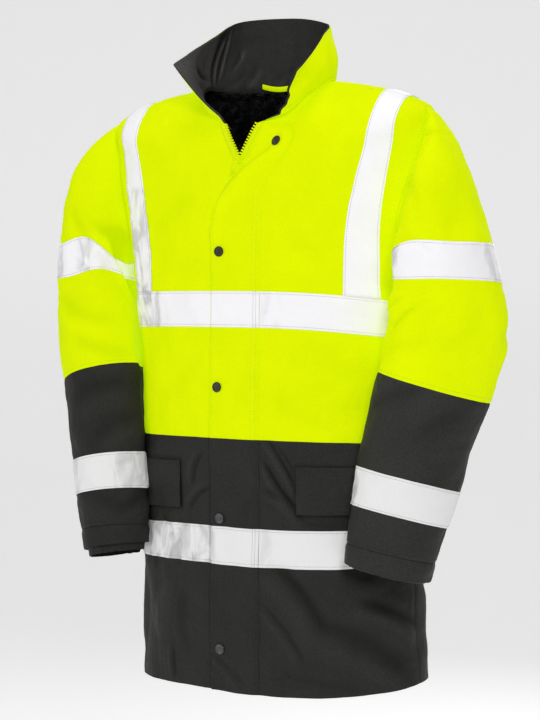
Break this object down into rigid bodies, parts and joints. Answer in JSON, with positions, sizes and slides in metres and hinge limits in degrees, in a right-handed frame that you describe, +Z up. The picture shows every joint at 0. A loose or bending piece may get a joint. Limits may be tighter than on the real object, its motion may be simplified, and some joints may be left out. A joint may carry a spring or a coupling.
{
  "type": "hi-vis work jacket",
  "caption": "Hi-vis padded work jacket, filled out with no wearer: two-colour shell, storm flap over a zip, stand collar, reflective bands and braces.",
  "frame": {"origin": "middle of the neck seam, level with the top of the shoulders, where the wearer carries it", "axes": "+Z up along the wearer, the front faces -Y, +X is the wearer's left"},
  "size_m": [0.7114, 0.2828, 0.943],
  "materials": {
    "yellow_shell": "fluorescent woven polyester, slightly coated",
    "black_shell": "black woven polyester, slightly coated",
    "reflective_tape": "silver-grey reflective tape, stitched at its edges",
    "lining": "black taffeta lining with a soft shine",
    "zip_yellow": "yellow zip tape, teeth and coated slider",
    "snap_metal": "dark gunmetal press studs"
  },
  "bodies": {
    "jacket": {"back_lower": "black_shell", "back_upper": "yellow_shell", "brace_left": "reflective_tape", "brace_right": "reflective_tape", "chest_band_back": "reflective_tape", "chest_band_flap": "reflective_tape", "chest_band_left": "reflective_tape", "chest_band_right": "reflective_tape", "collar_lining": "black_shell", "collar_shell": "yellow_shell", "cuff_left": "black_shell", "cuff_lining_left": "lining", "cuff_lining_right": "lining", "cuff_right": "black_shell", "flap_lower": "black_shell", "flap_upper": "yellow_shell", "front_left_lower": "black_shell", "front_left_upper": "yellow_shell", "front_right_lower": "black_shell", "front_right_upper": "yellow_shell", "hanger_loop": "yellow_shell", "hip_band_back": "reflective_tape", "hip_band_flap": "reflective_tape", "hip_band_left": "reflective_tape", "hip_band_right": "reflective_tape", "neck_lining": "lining", "pocket_flap_left": "black_shell", "pocket_flap_right": "black_shell", "sleeve_band_lower_left": "reflective_tape", "sleeve_band_lower_right": "reflective_tape", "sleeve_band_upper_left": "reflective_tape", "sleeve_band_upper_right": "reflective_tape", "sleeve_left_lower": "black_shell", "sleeve_left_upper": "yellow_shell", "sleeve_right_lower": "black_shell", "sleeve_right_upper": "yellow_shell", "snap_1": "snap_metal", "snap_2": "snap_metal", "snap_3": "snap_metal", "snap_4": "snap_metal", "snap_5": "snap_metal", "zip_slider": "zip_yellow", "zip_tape_left": "zip_yellow", "zip_tape_right": "zip_yellow"},
    "zip_pull_tab": {"zip_pull": "zip_yellow"}
  },
  "joints": [
    {"name": "zip_pull_hinge", "type": "hinge", "parent": "jacket", "child": "zip_pull_tab", "pos_m": [0, -0.0866, -0.107], "axis": [-1, 0, 0], "range_deg": [0, 100]}
  ]
}
